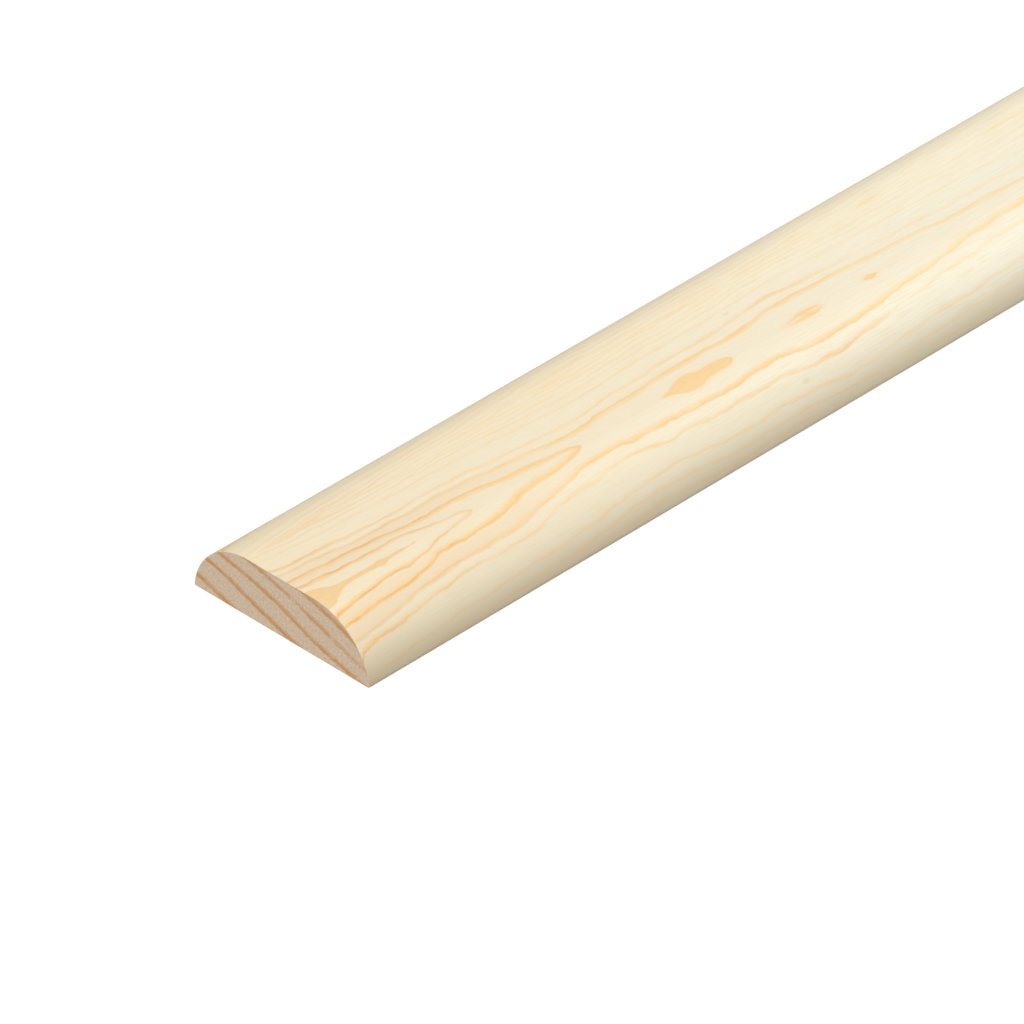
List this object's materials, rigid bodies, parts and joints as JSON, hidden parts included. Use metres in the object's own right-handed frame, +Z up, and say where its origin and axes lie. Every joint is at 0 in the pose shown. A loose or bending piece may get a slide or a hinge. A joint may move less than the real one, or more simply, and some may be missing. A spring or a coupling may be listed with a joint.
{
  "type": "d-shaped moulding",
  "caption": "Straight length of planed pine moulding with a flat back, a flat crown and rounded shoulders, used to cover joints and edges.",
  "frame": {"origin": "middle of the flat back, halfway along the length", "axes": "+X along the length and the grain, away from the end that the picture shows, +Y across the width, +Z up from the flat back to the crown"},
  "size_m": [2.4, 0.032, 0.009],
  "materials": {
    "pine": "matte"
  },
  "bodies": {
    "root": {"d_shape_moulding": "pine"}
  },
  "joints": []
}
